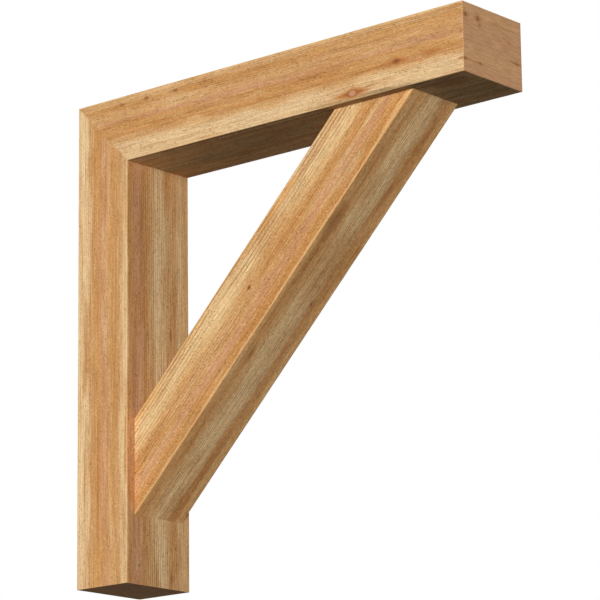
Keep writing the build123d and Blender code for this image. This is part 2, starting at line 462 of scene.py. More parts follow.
    h = T.m("ADD", T.m("MULTIPLY", f1, 0.9), T.m("MULTIPLY", f2, 0.5))
    h = T.m("SUBTRACT", h, T.m("MULTIPLY", tick, 0.30))
    h = T.m("ADD", h, T.m("MULTIPLY", fleck, 0.25))
    h = T.m("ADD", h, T.m("MULTIPLY", T.m("ADD", lines, T.m("MULTIPLY", coarse, 0.4)), 0.30))
    if height_knots is not None:
        h = T.m("SUBTRACT", h, T.m("MULTIPLY", height_knots, 0.5))
    if calm_top:
        h = T.m("MULTIPLY", T.m("SUBTRACT", h, 0.7), T.step(P, DEPTH - 1.6, DEPTH - 0.6, 1.0, 0.25))
    T.put(T.bsdf.inputs["Normal"], T.bump(h, 0.0009, 0.34))
    return T.mat


def knot(at, size, halo, core, rim, tone, core_amount=0.9, rim_amount=0.85, halo_amount=0.6,
         bend=0.0, across=(0.0, 1.0, 0.0), end=False):
    """A knot: where, half sizes of its core and halo, their tones and strengths,
    and how far it pushes the grain aside; end means it shows on a sawn end."""
    return {"end": end, "at": at, "size": size, "halo": halo, "core_tone": core, "rim_tone": rim,
            "halo_tone": tone, "core_amount": core_amount, "rim_amount": rim_amount,
            "halo_amount": halo_amount, "bend": bend, "across": across}


DARK_KNOT = srgb(120, 74, 38)
BROWN_KNOT = srgb(148, 92, 50)
GREY_KNOT = srgb(184, 132, 100)
FLAME = srgb(184, 112, 52)
EMBER = srgb(160, 92, 44)
HEART_KNOT = srgb(202, 150, 116)

FACE = WIDTH / 2


def post_wood():
    near = -FACE
    # distance from the pith: 231 at the back near edge, 317 at the front near
    # edge, 460 at the front far edge
    bands = [(222, STRAW), (230, PALE), (239, PALE), (244, CREAM), (249, TAN), (255, HONEY),
             (264, ORANGE), (272, MAUVE), (280, TAN), (287, HONEY), (295, HONEY), (302, TAN),
             (307, STRAW), (312, CREAM), (317, CREAM), (320, HONEY), (325, ORANGE), (334, MAUVE),
             (343, MAUVE), (352, ORANGE), (360, TAN), (367, STRAW), (374, STRAW), (379, PALE), (388, PALE),
             (398, CREAM), (407, STRAW), (415, TAN), (427, TAN), (436, CREAM), (446, STRAW), (464, TAN)]
    zones = [(222, 0.35), (245, 0.25), (254, 0.35), (262, 0.1), (288, 0.15), (296, 0.60), (310, 0.35), (322, 0.15),
             (350, 0.35), (364, 0.75), (402, 0.75), (414, 0.4), (440, 0.3), (464, 0.25)]
    pitch = [(222, 3.0), (318, 4.4)]
    patches = [
        ((-20, 20, near), (170, 15, 16), ORANGE, 0.75),
        ((-330, 30, near), (150, 10, 14), CREAM, 0.55),
        ((250, 22, near), (120, 9, 14), CREAM, 0.50),
        ((90, 125, near), (110, 9, 10), SPARK, 0.45),
        ((-250, 60, near), (170, 8, 14), RUST, 0.45),
        ((-60, 33, near), (300, 1.6, 14), RUST, 0.60),
        ((-200, 43, near), (190, 14, 14), ORANGE, 0.55),
        ((-120, 96, near), (150, 12, 14), ORANGE, 0.40),
        ((20, 9, near), (210, 13, 14), CREAM, 0.50),
        ((290, 133, near), (100, 13, 14), ORANGE, 0.50),
        ((-100, DEPTH, 0), (190, 12, 12), CREAM, 0.45),
        ((180, DEPTH, -50), (170, 12, 9), UMBER, 0.55),
        ((-60, DEPTH, 50), (330, 12, 3.5), RUST, 0.50),
        ((-340, DEPTH, -60), (120, 12, 14), MAUVE, 0.5),
    ]
    knots = [
        knot((-488, DEPTH, 38.7), (11, 20, 2.4), (36, 30, 7), DARK_KNOT, DARK_KNOT, RUST,
             0.62, 0.35, 0.40, 1.5, (0, 0, 1)),
        knot((19, DEPTH, 38.7), (11, 20, 2.4), (38, 30, 7), DARK_KNOT, DARK_KNOT, RUST,
             0.62, 0.35, 0.40, 1.5, (0, 0, 1)),
        knot((-96, 0.0, 30.0), (13, 16, 8), (60, 26, 18), GREY_KNOT, BROWN_KNOT, FLAME,
             0.8, 0.8, 0.6, 5.0, (0, 0, 1)),
        knot((250, 70.0, FACE), (9, 8, 14), (50, 15, 26), BROWN_KNOT, DARK_KNOT, FLAME,
             0.8, 0.8, 0.6, 4.0, (0, 1, 0)),
    ]
    # the last argument, 0.3, is the strength of the painted arris highlight
    return wood("post_grain", (0, 0, 0), (0, 0, 1), (1, 0, 0), (0, 1, 0), FACE, (-100.0, -300.0),
                bands, zones, pitch, knots, 1.0, [(-HALF, -1, [TAN, BUFF, CLAY, CLAY, CLAY])], patches, 0.3)


def arm_wood():
    top, near = DEPTH, -FACE
    # the pith is far above and beyond the near side; distances run from the top
    # of the near side face, 460, to its lower edge, 600
    bands = [(448, UMBER), (456, TAN), (462, STRAW), (470, TAN), (478, HONEY), (486, HONEY), (493, TAN),
             (500, TAN), (507, TAN), (514, MAUVE), (522, ORANGE), (532, HONEY), (540, ORANGE),
             (547, ORANGE), (554, TAN), (561, STRAW), (567, CREAM), (600, CREAM), (604, STRAW), (612, SHADE),
             (628, OLIVE), (644, SHADE), (656, MOSS)]
    zones = [(448, 0.3), (472, 0.45), (490, 0.55), (500, 0.15), (545, 0.1), (556, 0.25), (568, 0.40),
             (602, 0.35), (608, 0.22), (650, 0.32)]
    pitch = [(440, 4.4)]
    patches = [
        ((620, 111.0, near), (420, 1.5, 12), RUST, 0.45),
        ((200, 119.0, near), (170, 1.3, 12), RUST, 0.42),
        ((200, 62.0, near), (150, 8.0, 14), ORANGE, 0.60),
        ((420, 50.0, near), (160, 3.0, 14), RUST, 0.50),
        ((800, 52.0, near), (90, 4.0, 14), RUST, 0.45),
        ((330, 48.0, near), (40, 10.0, 14), STRAW, 0.60),
        ((140, 96.0, near), (110, 12.0, 14), TAN, 0.60),
        ((300, 20.0, near), (150, 17.0, 16), CREAM, 0.70),
        ((620, 22.0, near), (80, 15.0, 14), CREAM, 0.60),
        ((520, 34.0, near), (50, 10.0, 14), HONEY, 0.55),
        ((230, 132.0, near), (170, 9.0, 14), STRAW, 0.60),
        ((640, 75.0, near), (120, 22.0, 14), RUST, 0.35),
        ((420, 84.0, near), (190, 11.0, 14), MAUVE, 0.45),
        ((880, 84.0, near), (120, 9.0, 14), MAUVE, 0.40),
        ((960, 34.0, near), (70, 10.0, 14), CREAM, 0.50),
        ((430, 0.0, -10), (360, 12, 9), OLIVE, 0.45),
        ((500, 0.0, -86), (520, 12, 5), MOSS, 0.8),
        ((300, 0.0, 40), (260, 12, 5), MOSS, 0.6),
        ((600, 0.0, -70), (330, 12, 10), MOSS, 0.5),
        # painted shade: the underside strip between the near arris and the brace head's near face, darkened where it
        # is in shade
        ((775, 0.0, -81), (210, 12, 24), PAINTED_SHADE, 0.80),
        ((950, 0.0, -58), (70, 12, 40), LOAM, 0.60),
        ((790, 19.0, near), (46, 2.6, 12), RUST, 0.55),
        ((712, 48.0, near), (80, 70, 14), ORANGE, 0.35),
        ((500, 10.0, FACE + 2.0), (1600, 110, 7), STRAW, 0.75),
        ((235, 116.0, near), (140, 22, 14), HONEY, 0.45),
        ((457, 60.0, near), (75, 17, 14), ORANGE, 0.40),
        ((970, 112.0, near), (70, 14, 14), ORANGE, 0.50),
        ((700, 11.0, near), (30, 2.2, 12), RUST, 0.40),
    ]
    eye = (743, 14.0, near)
    knots = [
        knot((125, 121.5, near), (6, 2.8, 12), (26, 7, 24), DARK_KNOT, BROWN_KNOT, RUST, 0.7, 0.4, 0.45, 1.5),
        knot((194, 121.5, near), (6, 2.8, 12), (26, 7, 24), DARK_KNOT, BROWN_KNOT, RUST, 0.7, 0.4, 0.45, 1.5),
        knot((275, 121.0, near), (6, 2.8, 12), (26, 7, 24), DARK_KNOT, BROWN_KNOT, RUST, 0.7, 0.4, 0.45, 1.5),
        knot((853, 54.5, near), (9, 4.5, 20), (44, 14, 36), DARK_KNOT, BROWN_KNOT, FLAME, 0.75, 0.5, 0.85, 4.0),
        knot((937, 54.5, near), (9, 3.6, 20), (36, 11, 34), RUST, BROWN_KNOT, FLAME, 0.5, 0.3, 0.60, 3.0),
        knot(eye, (10.5, 7.0, 24), (62, 14, 60), HEART_KNOT, BROWN_KNOT, FLAME, 0.85, 0.50, 0.95, 6.0),
        knot(eye, (10.5, 7.0, 24), (46, 10, 44), HEART_KNOT, BROWN_KNOT, EMBER, 0.80, 0.0, 0.75),
        # on the sawn end
        knot((1016, 114.5, near + 9), (20, 6, 6), (30, 12, 13), BROWN_KNOT, BROWN_KNOT, RUST, 0.65, 0.2, 0.45,
             end=True),
        knot((1016, 114.5, near + 48), (20, 6, 6.5), (30, 12, 15), BROWN_KNOT, BROWN_KNOT, RUST, 0.65, 0.2, 0.45,
             end=True),
        knot((1016, 102.0, near + 53), (16, 3, 5), (20, 6, 9), BROWN_KNOT, BROWN_KNOT, RUST, 0.4, 0.2, 0.3,
             end=True),
        knot((1016, 25.7, near + 5), (16, 3, 6), (24, 6, 20), DARK_KNOT, BROWN_KNOT, RUST, 0.6, 0.3, 0.4,
             end=True),
        knot((1016, 25.7, near + 52), (16, 3, 6), (24, 6, 24), DARK_KNOT, BROWN_KNOT, RUST, 0.6, 0.3, 0.4,
             end=True),
        knot((1016, 52.0, near + 168), (16, 3, 8), (24, 6, 26), BROWN_KNOT, BROWN_KNOT, RUST, 0.5, 0.3, 0.4,
             end=True),
        # thin checks across the end
        knot((1016, 114.0, near + 122), (20, 0.9, 60), (20, 4, 80), BROWN_KNOT, BROWN_KNOT, RUST, 0.40, 0.1, 0.15,
             end=True),
        knot((1016, 25.7, near + 28), (20, 0.8, 24), (20, 3, 34), BROWN_KNOT, BROWN_KNOT, RUST, 0.40, 0.1, 0.15,
             end=True),
        knot((1016, 53.0, near + 156), (20, 0.9, 25), (20, 4, 34), BROWN_KNOT, BROWN_KNOT, RUST, 0.40, 0.1, 0.2,
             end=True),
        knot((1016, 87.0, near + 147), (20, 2.4, 6), (20, 7, 16), BROWN_KNOT, BROWN_KNOT, RUST, 0.25, 0.1, 0.2,
             end=True),
        # on the faces that are turned away
        knot((430, DEPTH, 22), (16, 20, 9), (72, 30, 22), GREY_KNOT, BROWN_KNOT, FLAME, 0.9, 0.8, 0.8, 6.0, (0, 0, 1)),
        knot((560, 80.0, FACE), (12, 8, 24), (60, 16, 40), GREY_KNOT, BROWN_KNOT, FLAME, 0.9, 0.8, 0.8, 5.0),
    ]
    # the last argument, 0.3, is the strength of the painted arris highlight
    return wood("arm_grain", (0, 0, INNER), (1, 0, 0), (0, 0, 1), (0, 1, 0), FACE,
                (DEPTH + 458.0, near - 40.0), bands, zones, pitch, knots, 2.0,
                [(2 * HALF, 1, [PINK, PINK, BUFF, BUFF, PINK, PINK, PINK, PINK, BUFF, PINK])], patches, 0.3)


def brace_wood():
    near = -DEPTH / 2
    s = 1.0 / ROOT2

    def warm(tone, green, blue):
        return (tone[0], tone[1] * green, tone[2] * blue, 1.0)

    # distances: 251 at the upper near edge, 332 at the lower near edge, 441 at
    # the lower far edge
    bands = [(240, STRAW), (249, GOLD), (254, GOLD), (260, CREAM), (270, CREAM), (275, STRAW), (279, TAN),
             (284, HONEY), (290, ORANGE), (296, TAN), (303, MAUVE), (309, MAUVE), (316, HONEY), (323, ORANGE),
             (329, ORANGE), (332, GOLD), (337, GOLD), (345, AMBER), (351, AMBER), (357, GOLD), (363, GOLD),
             (369, WHEAT), (392, WHEAT), (399, CREAM), (405, STRAW), (412, AMBER), (421, AMBER), (429, GOLD),
             (436, GOLD), (443, TAN), (452, TAN)]
    bands = [(d, warm(c, 0.97, 0.90) if d < 332 else warm(c, 0.98, 1.0)) for d, c in bands]
    zones = [(240, 0.85), (260, 0.85), (266, 0.7), (271, 0.25), (280, 0.35), (292, 0.45), (305, 0.1), (340, 0.1),
             (358, 0.4), (368, 0.72), (394, 0.72), (404, 0.35), (425, 0.4), (452, 0.3)]
    pitch = [(235, 3.9), (330, 4.6)]
    patches = [
        ((640, 67.0, near), (150, 4.0, 12), FLAME, 0.60),
        ((830, 8.4, near), (70, 5.0, 12), FLAME, 0.30),
        ((240, 14.0, near), (230, 10.0, 14), ORANGE, 0.60),
        ((560, 14.0, near), (190, 10.0, 14), RUST, 0.40),
        ((400, 106.0, near), (380, 8.5, 14), SPARK, 0.75),
        ((860, 112.0, near), (120, 7.5, 14), SPARK, 0.55),
        ((700, 92.0, near), (110, 6.0, 14), HONEY, 0.45),
        ((300, 40.0, near), (200, 9.0, 14), MAUVE, 0.45),
        ((600, 30.0, near), (170, 8.0, 14), MAUVE, 0.40),
        ((450, 58.0, near), (220, 2.0, 12), RUST, 0.50),
        ((670, 0.0, near + 20), (160, 12, 11), RUST, 0.60),
        ((120, 0.0, near + 108), (150, 12, 12), RUST, 0.55),
        ((900, 0.0, near + 112), (160, 12, 10), RUST, 0.50),
        ((420, 0.0, 0), (330, 12, 11), CREAM, 0.45),
        ((560, 0.0, 36), (420, 12, 3.5), RUST, 0.55),
        ((30, 0.0, 30), (90, 12, 50), ORANGE, 0.35),
        ((625, 92.0, near), (80, 78, 14), ORANGE, 0.50),
        ((810, 134.0, near), (110, 14, 14), CREAM, 0.80),
        ((330, 62.0, near), (260, 13, 14), CREAM, 0.40),
        ((850, 26.0, near), (70, 15, 14), UMBER, 0.45),
        ((260, 133.0, near), (75, 14, 14), CREAM, 0.50),
        ((640, 0.0, near + 76), (120, 12, 78), ORANGE, 0.45),
    ]
    knots = [
        knot((515, 74.0, near), (6, 3.0, 12), (24, 8, 24), DARK_KNOT, BROWN_KNOT, RUST, 0.9, 0.5, 0.5, 1.5),
        knot((410, 0.0, near + 28), (11, 14, 3.4), (40, 26, 12), DARK_KNOT, BROWN_KNOT, UMBER,
             0.52, 0.3, 0.55, 2.5, (0, 0, 1)),
        knot((733, 0.0, near + 19), (14, 14, 3.6), (60, 26, 20), RUST, BROWN_KNOT, UMBER,
             0.5, 0.3, 0.7, 2.5, (0, 0, 1)),
        knot((548, 0.0, near + 101), (6, 12, 2.4), (24, 20, 7), DARK_KNOT, BROWN_KNOT, RUST,
             0.78, 0.4, 0.40, 1.2, (0, 0, 1)),
        knot((560, DEPTH, 14.0), (14, 16, 8), (70, 28, 20), GREY_KNOT, BROWN_KNOT, FLAME, 0.9, 0.8, 0.8, 5.0, (0, 0, 1)),
    ]
    # 0.40 and TAN: strength and tone of the painted arris highlight
    return wood("brace_grain", (DEPTH, 0, -INNER), (s, 0, s), (-s, 0, s), (0, 1, 0), DEPTH / 2,
                (240.0, -300.0), bands, zones, pitch, knots, 3.0, [], patches, 0.40, TAN, 1.35, True)


# =====================================================================  timber mesh
def waves(seed, count, lo, hi, across):
    """A smooth, repeatable, uneven surface as a sum of sines of L and s."""
    rng = np.random.default_rng(seed)
    k = 2 * math.pi / np.exp(rng.uniform(math.log(lo), math.log(hi), count))
    m = 2 * math.pi / rng.uniform(across, across * 4, count) * rng.choice([-1, 1], count)
    ph = rng.uniform(0, 2 * math.pi, count)
    am = rng.uniform(0.5, 1.0, count)
    am /= am.sum()

    def f(L, s):
        out = np.zeros(np.broadcast(L, s).shape)
        for a, b, c, d in zip(am, k, m, ph):
            out = out + a * np.sin(b * L + c * s + d)
        return out
    return f


class Timber:
    """A timber with eased, slightly uneven arrises, skinned as one closed mesh.

    ends: two dicts with "plane" (L as a function of P), "ease" in mm and "rings".
    """

    def __init__(self, name, half_q, depth, ends, axes, origin, seed, across=(3.0, 3.0), along=5.0,
                 flat_at=(), uv_scale=0.98, length_span=None):
        self.name = name
        W, D = 2 * half_q, depth
        na, nb = max(8, round(D / across[0])), max(8, round(W / across[1]))
        arc = [math.pi / 2 * k / 5 for k in range(1, 5)]
        # sides: 0 near (Q low) from P high to P low, 1 P low, 2 far, 3 P high
        lens = (D, W, D, W)
        counts = (na, nb, na, nb)
        # each entry: chart of the segment that starts here, side, t, arc angle
        cols = []
        for k in range(4):
            for i in range(counts[k] + 1):
                cols.append((k, i / counts[k], None))
            for a in arc:
                cols.append((k, None, a))
        self.cols = cols
        n = len(cols)
        radius = waves(seed, 6, 60, 500, 40)
        dents = waves(seed + 5, 9, 18, 90, 30)
        face = waves(seed + 11, 10, 90, 700, 50)
        self.face_wave = face

        side = np.array([c[0] for c in cols])
        t = np.array([-1.0 if c[1] is None else c[1] for c in cols])
        ang = np.array([0.0 if c[2] is None else c[2] for c in cols])
        is_arc = t < 0

        def section(L, inset):
            """P, Q and unrolled s of every column for scalar or per-column L."""
            L = np.broadcast_to(np.asarray(L, float), (n,))
            r = np.zeros((4, n))
            for c in range(4):   # the corner after side c
                r[c] = 1.0 + 0.40 * radius(L, c * 190.0) + 0.28 * dents(L, c * 77.0)
            r = np.clip(r, 0.45, 1.9)
            P = np.zeros(n)
            Q = np.zeros(n)
            s = np.zeros(n)
            # corner points, and the way each side runs
            start = {0: (D, -half_q), 1: (0.0, -half_q), 2: (0.0, half_q), 3: (D, half_q)}
            way = {0: (-1, 0), 1: (0, 1), 2: (1, 0), 3: (0, -1)}
            for k in range(4):
                before, after = r[(k - 1) % 4], r[k]
                on = (side == k) & ~is_arc
                dist = before + t * (lens[k] - before - after)
                # inward way of a side is the way of the next side
                iw = way[(k + 1) % 4]
                sink = 0.10 + 0.09 * face(L, k * 260.0 + dist)
                fade = np.minimum(1.0, np.minimum(dist - before, lens[k] - after - dist) / 10.0)
                sink = np.clip(sink, 0.0, 0.4) * np.clip(fade, 0, 1)
                for c in flat_at:
                    if c[0] == k:
                        far = np.hypot(L - c[1], dist - c[2])
                        sink = sink * np.clip((far - 16.0) / 12.0, 0, 1)
                P = np.where(on, start[k][0] + way[k][0] * dist + iw[0] * sink, P)
                Q = np.where(on, start[k][1] + way[k][1] * dist + iw[1] * sink, Q)
                s = np.where(on, dist, s)
                onc = (side == k) & is_arc
                nxt = start[(k + 1) % 4]
                # arc from the end of side k to the start of side k + 1
                cx = nxt[0] - way[k][0] * after + way[(k + 1) % 4][0] * after
                cy = nxt[1] - way[k][1] * after + way[(k + 1) % 4][1] * after
                ox = -way[(k + 1) % 4][0] * np.cos(ang) + way[k][0] * np.sin(ang)
                oy = -way[(k + 1) % 4][1] * np.cos(ang) + way[k][1] * np.sin(ang)
                P = np.where(onc, cx + ox * after, P)
                Q = np.where(onc, cy + oy * after, Q)
                s = np.where(onc, lens[k] - after + after * ang, s)
            if inset:
                cP, cQ = D / 2, 0.0
                P = cP + (P - cP) * (1 - 2 * inset / D)
                Q = cQ + (Q - cQ) * (1 - inset / half_q)
            return P, Q, s, r

        def on_plane(plane):
            """L of every column where it meets an end plane."""
            L = np.array([plane(p) for p in section(0.0, 0.0)[0]])
            for _ in range(6):
                L = np.array([plane(p) for p in section(L, 0.0)[0]])
            return L

        La, Lb = on_plane(ends[0]["plane"]), on_plane(ends[1]["plane"])
        ea, eb = ends[0]["ease"], ends[1]["ease"]
        steps = 3 if max(ea, eb) > 0.5 else 1
        span = float((Lb - La).max())
        N = max(40, round(span / along))
        rows = []      # each: P, Q, L, s arrays

        def end_rows(which, e, plane, sign):
            out = []
            k = 3 if e > 0.5 else 1
            for i in range(1, k + 1):
                th = math.pi / 2 * i / k
                inset = e * (1 - math.cos(th))
                P, Q, s, _ = section(0.0 if which is None else which, inset)
                Lp = np.array([plane(p) for p in P])
                out.append((P, Q, Lp - sign * e * (1 - math.sin(th)), s))
            return out

        for j in range(N + 1):
            tau = j / N
            Lr = (La + ea) + ((Lb - eb) - (La + ea)) * tau
            P, Q, s, _ = section(Lr, 0.0)
            rows.append((P, Q, Lr, s))
        first = end_rows(La, ea, ends[0]["plane"], -1)
        last = end_rows(Lb, eb, ends[1]["plane"], 1)
        rows = first[::-1] + rows + last
        self.rows = rows
        nr = len(rows)

        verts = np.zeros((nr * n, 3))
        for j, (P, Q, L, s) in enumerate(rows):
            verts[j * n:(j + 1) * n] = np.stack([L, P, Q], 1)
        vlist = [verts]
        faces, uvs = [], []
        # UV charts stacked down the sheet, in mm before scaling
        pad = 7.0
        base = {}
        y = pad
        for k in (0, 1, 2, 3):
            base[k] = y
            y += lens[k] + pad
        Lmin = float(min(r_[2].min() for r_ in rows))
        size = 1024.0
        self.sheet = size / uv_scale          # the sheet's side in mm
        cap_y = y + 2.0

        S = np.stack([r_[3] for r_ in rows])
        LL = np.stack([r_[2] for r_ in rows])

        def chart_of(i):
            k, tt, a = cols[i]
            if tt is not None and i + 1 < n and cols[i + 1][0] == k and cols[i + 1][1] is not None:
                return k
            # segments on an arc: the first three belong to side k
            if tt is not None:
                return k
            return k if a < math.pi / 4 else (k + 1) % 4

        def s_in(i, k, j):
            """The unrolled place of column i in chart k."""
            if cols[i][0] == k:
                return S[j, i]
            # column i is on the arc before side k, or is that side's end
            prev = (k - 1) % 4
            if cols[i][0] == prev:
                return S[j, i] - lens[prev]
            return S[j, i] + lens[k]

        for i in range(n):
            i2 = (i + 1) % n
            k = chart_of(i)
            for j in range(nr - 1):
                a, b = j * n + i, j * n + i2
                c, d = (j + 1) * n + i2, (j + 1) * n + i
                faces.append((a, b, c, d))
                uvs.append(((LL[j, i] - Lmin + pad, base[k] + s_in(i, k, j)),
                            (LL[j, i2] - Lmin + pad, base[k] + s_in(i2, k, j)),
                            (LL[j + 1, i2] - Lmin + pad, base[k] + s_in(i2, k, j + 1)),
                            (LL[j + 1, i] - Lmin + pad, base[k] + s_in(i, k, j + 1))))
        # caps: shrinking rings down to a point
        count = nr * n
        for which, row, e, x0 in ((0, rows[0], ends[0], pad), (1, rows[-1], ends[1], pad + 2 * half_q + 12.0)):
            rings = e["rings"]
            cP, cQ = D / 2, 0.0
            ring_ids = [np.arange(n) + (0 if which == 0 else (nr - 1) * n)]
            coords = {}

            def cap_uv(P, Q):
                stretch = e.get("stretch", 1.0)
                return (x0 + (Q + half_q), cap_y + P * stretch)
            allPQ = [np.stack([row[0], row[1]], 1)]
            for q in range(1, rings):
                f = 1 - q / rings
                P = cP + (row[0] - cP) * f
                Q = cQ + (row[1] - cQ) * f
                Lc = np.array([e["plane"](p) for p in P])
                if e.get("relief"):
                    Lc = Lc + (1 if which == 0 else -1) * e["relief"] * (
                        0.5 + 0.5 * self.face_wave(P * 6.0, Q * 2.3)) * min(1.0, (1 - f) * 8)
                vlist.append(np.stack([Lc, P, Q], 1))
                ring_ids.append(np.arange(n) + count)
                allPQ.append(np.stack([P, Q], 1))
                count += n
            vlist.append(np.array([[e["plane"](cP), cP, cQ]]))
            centre = count
            count += 1
            for q in range(rings - 1):
                o, i_ = ring_ids[q], ring_ids[q + 1]
                for i in range(n):
                    i2 = (i + 1) % n
                    quad = [o[i], o[i2], i_[i2], i_[i]]
                    pq = [allPQ[q][i], allPQ[q][i2], allPQ[q + 1][i2], allPQ[q + 1][i]]
                    faces.append(tuple(int(x) for x in quad))
                    uvs.append(tuple(cap_uv(*x) for x in pq))
            o = ring_ids[-1]
            for i in range(n):
                i2 = (i + 1) % n
                faces.append((int(o[i]), int(o[i2]), centre))
                uvs.append((cap_uv(*allPQ[-1][i]), cap_uv(*allPQ[-1][i2]), cap_uv(cP, cQ)))
        self.hole_y = cap_y + max(D * ends[0].get("stretch", 1.0), D * ends[1].get("stretch", 1.0)) + 6.0
        V = np.concatenate(vlist)
        dl, dp, dq = (np.array(a, float) for a in axes)
        world = (np.array(origin, float) + V[:, :1] * dl + V[:, 1:2] * dp + V[:, 2:3] * dq) * MM
        me = bpy.data.meshes.new(name)
        me.from_pydata(world.tolist(), [], faces)
        layer = me.uv_layers.new(name="OFBake")
        flat = np.array([c for f in uvs for c in f], float) / self.sheet
        layer.data.foreach_set("uv", flat.ravel())
        me.update()
        bm = bmesh.new()
        bm.from_mesh(me)
        bmesh.ops.recalc_face_normals(bm, faces=bm.faces)
        bm.to_mesh(me)
        bm.free()
        self.ob = bpy.data.objects.new(name, me)
        scene.collection.objects.link(self.ob)


# =====================================================================  screws
HEAD_D, HEAD_H = 19.0, 4.2
SHANK_D, THREAD_D, POINT = 7.0, 8.0, 9.0
SINK_D, SINK = 22.0, 13.0
HEEL = (203.2, 100.0)
LONG = (254.0, 90.0)


def places():
    """Head seat, and the way from the tip to the head, for each screw, in mm."""
    back = HALF - 90.0
    foot = -INNER + 150.0
    head = HALF - foot
    up, out = (0, 0, 1), (-1, 0, 0)
    return {
        "heel_screw_top_near": ((50.0, -60.0, HALF - SINK), up, HEEL),
        "heel_screw_top_far": ((50.0, 60.0, HALF - SINK), up, HEEL),
        "heel_screw_back_near": ((SINK, -25.0, back), out, HEEL),
        "heel_screw_back_far": ((SINK, 25.0, back), out, HEEL),
        "foot_screw_near": ((SINK, -35.0, foot), out, LONG),
        "foot_screw_far": ((SINK, 35.0, foot), out, LONG),
        "head_screw_near": ((head, -35.0, HALF - SINK), up, LONG),
        "head_screw_far": ((head, 35.0, HALF - SINK), up, LONG),
    }


def axis_matrix(seat, way):
    z = Vector(way)
    x = Vector((0, 1, 0))
    y = z.cross(x)
    m = Matrix((x, y, z)).transposed().to_4x4()
    return Matrix.Translation(Vector(seat)) @ m


def lathe(profile, around, name, uv=None):
    """A closed mesh turned from (radius, z) points; the first and last are on
    the axis. A radius may be a list with one value for each column. uv gives
    (x, y) in the sheet for a turn share and a point index."""
    verts, faces, uvs = [], [], []
    ids = []
    for k, (r, z) in enumerate(profile):
        if not isinstance(r, (list, tuple)) and r < 1e-9:
            ids.append([len(verts)] * around)
            verts.append((0, 0, z))
        else:
            ids.append(list(range(len(verts), len(verts) + around)))
            for i in range(around):
                a = 2 * math.pi * i / around
                ri = r[i] if isinstance(r, (list, tuple)) else r
                verts.append((ri * math.cos(a), ri * math.sin(a), z))
    for k in range(len(profile) - 1):
        for i in range(around):
            i2 = (i + 1) % around
            f = [ids[k][i], ids[k][i2], ids[k + 1][i2], ids[k + 1][i]]
            u = [(i, k), (i + 1, k), (i + 1, k + 1), (i, k + 1)]
            keep = [q for q in range(4) if f.index(f[q]) == q]
            if len(keep) < 3:
                continue
            faces.append([f[q] for q in keep])
            uvs.append([u[q] for q in keep])
    me = bpy.data.meshes.new(name)
    me.from_pydata(verts, [], faces)
    if uv:
        layer = me.uv_layers.new(name="OFBake")
        flat = []
        for f in uvs:
            for i, k in f:
                flat += list(uv(i / around, k))
        layer.data.foreach_set("uv", flat)
    bm = bmesh.new()
    bm.from_mesh(me)
    bmesh.ops.recalc_face_normals(bm, faces=bm.faces)
    bm.to_mesh(me)
    bm.free()
    return me


def steel():
    """Zinc-plated steel with a faint yellow passivation."""
    T = Tree("screw_steel_look")
    tc = T.t.nodes.new("ShaderNodeTexCoord")
    pos = T.v("SCALE", tc.outputs["Object"], scale=1000.0)
    a = T.noise(T.v("SCALE", pos, scale=1 / 5.0), 3.0, 0.6)
    b = T.noise(T.v("SCALE", pos, scale=1 / 0.9), 2.0, 0.6)
    col = T.ramp(a, [(0.30, (0.52, 0.47, 0.35, 1)), (0.46, (0.66, 0.60, 0.44, 1)), (0.58, (0.70, 0.62, 0.46, 1)),
                     (0.70, (0.62, 0.60, 0.52, 1))])
    col = T.mix(T.step(b, 0.62, 0.74, 0.0, 0.5), col, (0.42, 0.38, 0.30, 1))
    T.put(T.bsdf.inputs["Base Color"], col)
    T.bsdf.inputs["Metallic"].default_value = 1.0
    T.put(T.bsdf.inputs["Roughness"], T.line(b, 0.3, 0.7, 0.30, 0.46))
    T.put(T.bsdf.inputs["Normal"], T.bump(T.m("ADD", a, T.m("MULTIPLY", b, 0.4)), 0.0001, 0.5))
    return T.mat


